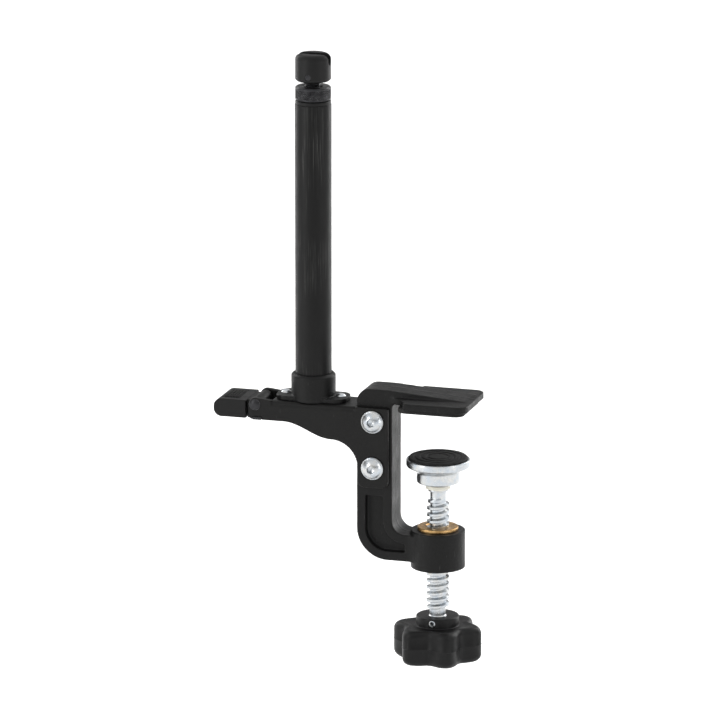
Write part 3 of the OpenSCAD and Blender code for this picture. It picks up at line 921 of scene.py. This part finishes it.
def thumb_pad():
    """Rubber pad in the lever, with rounded ribs across it."""
    low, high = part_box("lever_pad")
    ribs, rib_h, margin = 5, 0.45 * MM, 0.7 * MM
    gap, rib_w = 0.18, 0.64
    slab_edge, rib_edge = 0.2 * MM, 0.3 * MM
    middle_y = (low.y + high.y) / 2
    deck = high.z - rib_h
    foot = deck - 0.1 * MM
    slab = rounded([(low.x, low.z), (high.x, low.z), (high.x, deck, slab_edge),
                    (low.x, deck, slab_edge)], steps=3)
    shells = [moved(prism(slab, high.y - low.y, slab_edge), (0, middle_y, 0))]
    step = (high.x - low.x - 2 * margin) / ribs
    for k in range(ribs):
        left = low.x + margin + (k + gap) * step
        right = left + rib_w * step
        bar = rounded([(left, foot), (right, foot), (right, high.z, rib_edge),
                       (left, high.z, rib_edge)], steps=4)
        shells.append(moved(prism(bar, high.y - low.y - 2 * margin, rib_edge, 4), (0, middle_y, 0)))
    stand_for("lever_pad", shells)


# ---- Clamp ----

def jaw_pad():
    """Rubber pad under the jaw, its working face grooved in rings that follow its outline."""
    low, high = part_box("jaw_pad")
    half, corner = (high.x - low.x) / 2, 4 * MM

    def rounded_square(size, angle):
        """Distance from the centre to a square of half width size with round corners."""
        r = corner * size / half
        c, s = abs(math.cos(angle)), abs(math.sin(angle))
        straight = size / max(c, s)
        if min(c, s) * straight <= size - r:
            return straight
        a, b = (size - r) * (c + s), 2 * (size - r) ** 2 - r * r
        return a + math.sqrt(max(a * a - b, 0))

    groove = ((-0.7, 0), (-0.25, 0.45), (0.25, 0.45), (0.7, 0))
    rows = [(AXIS_R, low.z, rounded_square)]
    for ring in (4.5, 8.5, 12.0):
        rows += [((ring + step) * MM, low.z + rise * MM, rounded_square) for step, rise in groove]
    edge = rounded([(rows[-1][0], low.z), (half, low.z, 0.5 * MM), (half, high.z, 0.3 * MM),
                    (AXIS_R, high.z)])[1:]
    rows += [(r, z, rounded_square) for r, z in edge]
    stand_upright("jaw_pad", turned(rows, 128))


# The clamp screw's trapezoidal thread, shared by the screw and its insert. The teeth are listed as
# threaded_rod() takes them, and the thread starts just above the knob.
SCREW_PITCH = 3 * MM
SCREW_ROOT = 3.55 * MM
SCREW_TEETH = [(0, 0), (0.13, 0), (0.165, 0.1), (0.3, 0.9), (0.335, 1), (0.5, 1), (0.665, 1),
               (0.7, 0.9), (0.835, 0.1), (0.87, 0)]
SCREW_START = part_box("clamp_knob")[1].z + 0.6 * MM


def thread_insert():
    """The flanged bronze insert, with the screw's thread in its bore."""
    r, low, high = upright("thread_insert")
    bore, sleeve, flange = 5.05 * MM, 7 * MM, 1.5 * MM
    lead_in, lead_out = 0.5 * MM, 0.6 * MM
    outside = rounded([
        (bore + lead_in, low), (sleeve, low, 0.3 * MM), (sleeve, high - flange),
        (r, high - flange, 0.2 * MM), (r, high, 0.4 * MM), (bore + lead_out, high)])
    thread = inner_thread(SCREW_START, low + lead_in, high - lead_out, SCREW_PITCH, SCREW_ROOT,
                          crest=5 * MM, profile=SCREW_TEETH, play=0.06 * MM)
    stand_upright("thread_insert", turned(outside + thread, 96, closed=True))


def pressure_foot():
    """The foot, whose socket wraps the screw's ball to past its middle."""
    r, low, high = upright("pressure_foot")
    ball_z = low + 3.3 * MM
    socket, mouth, neck = 5.1 * MM, 4.6 * MM, 9.5 * MM
    pocket_r, pocket_z = r - 1 * MM, high - 1 * MM
    wrap, steps = 130, 12
    cup = [(AXIS_R, ball_z + socket)]
    for k in range(1, steps + 1):
        angle = math.radians(90 - wrap * k / steps)
        cup.append((socket * math.cos(angle), ball_z + socket * math.sin(angle)))
    body = rounded([
        (mouth, low), (neck, low, 0.8 * MM), (neck, low + 5 * MM, 1.6 * MM),
        (r, high - 3 * MM, 0.9 * MM), (r, high, 0.35 * MM), (pocket_r, high, 0.3 * MM),
        (pocket_r, pocket_z), (AXIS_R, pocket_z)])
    stand_upright("pressure_foot", turned(cup + body, 128))


def foot_pad():
    """Rubber pad on the foot, with ring grooves in its face."""
    r, low, high = upright("foot_pad")
    groove = ((0.7, 0), (0.25, 0.4), (-0.25, 0.4), (-0.7, 0))
    grip = [(AXIS_R, low), (r, low), (r, high - 0.5 * MM), (r - 0.45 * MM, high)]
    for ring in (10.2, 7.4, 4.6):
        grip += [((ring + step) * MM, high - drop * MM) for step, drop in groove]
    grip.append((AXIS_R, high))
    stand_upright("foot_pad", turned(grip, 128))


def foot_washer():
    r, low, high = upright("foot_washer")
    stand_upright("foot_washer", flat_ring(r, 3.3 * MM, high - low, 0.3 * MM), low)


def clamp_screw():
    """The screw: a plain shank in the knob, the thread, a thin collar, a neck and the ball."""
    r, low, high = upright("clamp_screw")
    ball, neck, neck_l, shank, chamfer = 5 * MM, 3.2 * MM, 6.3 * MM, 4 * MM, 0.5 * MM
    knob_top = upright("clamp_knob")[2]
    ball_z = high - ball
    shoulder = ball_z - neck_l
    collar = shoulder - 0.9 * MM
    collar_r = r - 0.5 * MM
    turns = int((collar - 0.8 * MM - SCREW_START) / SCREW_PITCH) - 1
    end = SCREW_START + SCREW_PITCH * (turns + 1)
    bottom, top, steps = -math.acos(neck / ball), math.pi / 2 - 0.03, 24
    sphere = [(ball * math.cos(t), ball_z + ball * math.sin(t))
              for t in [bottom + (top - bottom) * k / steps for k in range(steps + 1)]]
    above = rounded([
        (SCREW_ROOT, end), (SCREW_ROOT, collar, 0.3 * MM), (collar_r, collar, 0.2 * MM),
        (collar_r, shoulder, 0.2 * MM), (neck, shoulder)])[1:] + sphere
    below = [(shank - chamfer, low), (shank, low + chamfer), (shank, knob_top - 0.2 * MM),
             (SCREW_ROOT, knob_top + 0.3 * MM)]
    rod = threaded_rod(below, above, SCREW_START, turns, SCREW_PITCH, SCREW_ROOT, r, SCREW_TEETH, 112)
    stand_for("clamp_screw", [rod])


def knob():
    """The lobed knob with a parting seam round it, a dished top, a hub and a recess below."""
    low_corner, high_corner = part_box("clamp_knob")
    low, high = low_corner.z, high_corner.z
    lobes, swell = 6, 2.4 * MM
    seam_h = 0.12 * MM
    radius = high_corner.x - swell - seam_h
    hub, hub_top, recess = 9.5 * MM, 4 * MM, 3 * MM
    bore = 4 * MM
    deck = high - hub_top

    def lobed(share):
        return lambda r, angle: r + share * swell * math.cos(lobes * angle)

    def flank(r, z, share):
        return (r, z, lobed(share))

    def corner(z, way):
        """The rounded edge between the knob's side and its top (way 1) or underside (way -1)."""
        size, steps = 3 * MM, 8
        rows = []
        for k in range(steps + 1):
            angle = math.pi / 2 * k / steps
            inset = size * (1 - math.cos(angle))
            height = z + way * (size * math.sin(angle) - size)
            rows.append(flank(radius - inset, height, 1 - 0.25 * k / steps))
        return rows

    underside = [
        (bore, low + recess), (hub, low + recess), (hub, low + 0.5 * MM), (hub + 0.5 * MM, low),
        flank(12.2 * MM, low, 0.25), flank(13.2 * MM, low, 0.5)]
    seam = (low + deck) / 2
    side = list(reversed(corner(low, -1)))
    side += [flank(radius, seam - 0.25 * MM, 1), flank(radius + seam_h, seam - 0.1 * MM, 1),
             flank(radius + seam_h, seam + 0.1 * MM, 1), flank(radius, seam + 0.25 * MM, 1)]
    side += corner(deck, 1)
    dish_end = (10.4 * MM, deck - 0.45 * MM)
    dish = [flank(13 * MM, deck - 0.3 * MM, 0.45), flank(11.6 * MM, deck - 0.5 * MM, 0.15), dish_end]
    top = rounded([dish_end, (hub, deck - 0.3 * MM, 0.4 * MM), (hub, high, 0.7 * MM),
                   (bore + 0.4 * MM, high), (bore, high - 0.4 * MM)])[1:]
    piece = stand_for("clamp_knob", [turned(underside + side + dish + top, 192, closed=True)])
    pin_low, pin_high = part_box("knob_pin")
    drill(piece, (pin_low + pin_high) / 2, (pin_high.x - pin_low.x) / 2 + 0.03 * MM, 3 * hub)


def knob_cap():
    """The cap in the knob's underside, with a raised rim round a shallow dish."""
    r, low, high = upright("knob_cap")
    cap = rounded([
        (AXIS_R, high), (r, high), (r, low + 0.3 * MM, 0.5 * MM), (r - 1.6 * MM, low, 0.4 * MM),
        (r - 2.4 * MM, low + 0.5 * MM, 0.4 * MM), (AXIS_R, low + 0.3 * MM)])
    stand_upright("knob_cap", turned(cap, 96))


def roll_pin():
    """A slotted spring pin through the knob's hub."""
    low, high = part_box("knob_pin")
    r, wall = (high.x - low.x) / 2, 0.6 * MM
    slot_at, slot, steps = math.radians(-60), math.radians(16), 30
    x, z = (low.x + high.x) / 2, (low.z + high.z) / 2
    angles = [slot_at + slot + (2 * math.pi - 2 * slot) * k / steps for k in range(steps + 1)]
    outline = [(x + r * math.cos(a), z + r * math.sin(a)) for a in angles]
    outline += [(x + (r - wall) * math.cos(a), z + (r - wall) * math.sin(a)) for a in reversed(angles)]
    stand_for("knob_pin", [prism(outline, high.y - low.y, 0.12 * MM)])


# ---- Studio ----

def camera():
    """The photograph's direction and distance, with a long lens so that the clamp fills the frame."""
    azimuth, elevation, distance = math.radians(16.8), math.radians(14.2), 2.95
    shown_height = 0.312
    low, high = cad_box
    aim = (low + high) / 2 + Vector((2 * MM, 0, 0))
    back = Vector((math.sin(azimuth) * math.cos(elevation), -math.cos(azimuth) * math.cos(elevation),
                   math.sin(elevation)))
    data = bpy.data.cameras.new("camera")
    data.sensor_width = 36
    data.lens = data.sensor_width / 2 / (shown_height / 2 / distance)
    data.clip_start = 0.05
    made = new_object("camera", data)
    made.location = aim + back * distance
    made.rotation_mode = "QUATERNION"
    made.rotation_quaternion = (-back).to_track_quat("-Z", "Y")
    bpy.context.scene.camera = made


def area_light(name, place, aim, size, brightness):
    """A softbox of a given brightness all over its face, which the camera doesn't see."""
    data = bpy.data.lights.new(name, "AREA")
    data.shape = "RECTANGLE"
    data.size, data.size_y = size
    data.energy = brightness * math.pi * size[0] * size[1]
    made = new_object(name, data)
    made.location = place
    made.rotation_mode = "QUATERNION"
    made.rotation_quaternion = (Vector(aim) - Vector(place)).to_track_quat("-Z", "Y")
    made.visible_camera = False


def backdrop():
    """A white cove round the horizon and below it, under a dimmer room.

    Generated Z is the height of the line of sight: 0 at the horizon and 1 straight up.
    """
    world = bpy.data.worlds.new("studio")
    world.use_nodes = True
    tree = world.node_tree
    coords = tree.nodes.new("ShaderNodeTexCoord")
    axes = tree.nodes.new("ShaderNodeSeparateXYZ")
    level = tree.nodes.new("ShaderNodeMapRange")
    for socket, value in (("From Min", 0.1), ("From Max", 0.2), ("To Min", 1.0), ("To Max", 0.3)):
        level.inputs[socket].default_value = value
    tree.links.new(coords.outputs["Generated"], axes.inputs["Vector"])
    tree.links.new(axes.outputs["Z"], level.inputs["Value"])
    background = tree.nodes["Background"]
    background.inputs["Color"].default_value = (1, 1, 1, 1)
    tree.links.new(level.outputs["Result"], background.inputs["Strength"])
    bpy.context.scene.world = world


def studio():
    """The backdrop, the softboxes, and a floor just below the knob at its lowest."""
    backdrop()
    bpy.context.scene.view_settings.view_transform = "Standard"
    middle = (cad_box[0] + cad_box[1]) / 2
    area_light("overhead", (0, 0, 7), (0, 0, 0), (26, 26), 0.85)
    area_light("key", (-0.66, -0.74, 0.3), middle, (0.22, 0.8), 7)
    area_light("side", (0.95, -0.3, 0.3), middle, (0.16, 0.8), 5)
    area_light("rim_right", (0.5, 0.85, 0.34), middle, (0.25, 0.9), 7)
    area_light("rim_left", (-0.9, 0.45, 0.3), middle, (0.2, 0.8), 6)
    travel = next(j for j in RECORD["behaviour"]["joints"] if j["name"] == "clamp_travel")
    ground = cad_box[0].z + travel["range_m"][0] - 1 * MM
    half = 4
    corners = [(x * half, y * half, ground) for x, y in ((-1, -1), (1, -1), (1, 1), (-1, 1))]
    mesh = bpy.data.meshes.new("floor")
    mesh.from_pydata(corners, [], [(0, 1, 2, 3)])
    mesh.materials.append(paper_sweep("floor_paper"))
    floor = new_object("floor", mesh)


camera()
studio()
cast_and_pressed_parts()
post()
post_top_bush()
head_stem_and_nut()
arm_fasteners()
socket_rivets()
lock_pin()
post_fixings()
thumb_pad()
jaw_pad()
thread_insert()
pressure_foot()
foot_pad()
foot_washer()
clamp_screw()
knob()
knob_cap()
roll_pin()
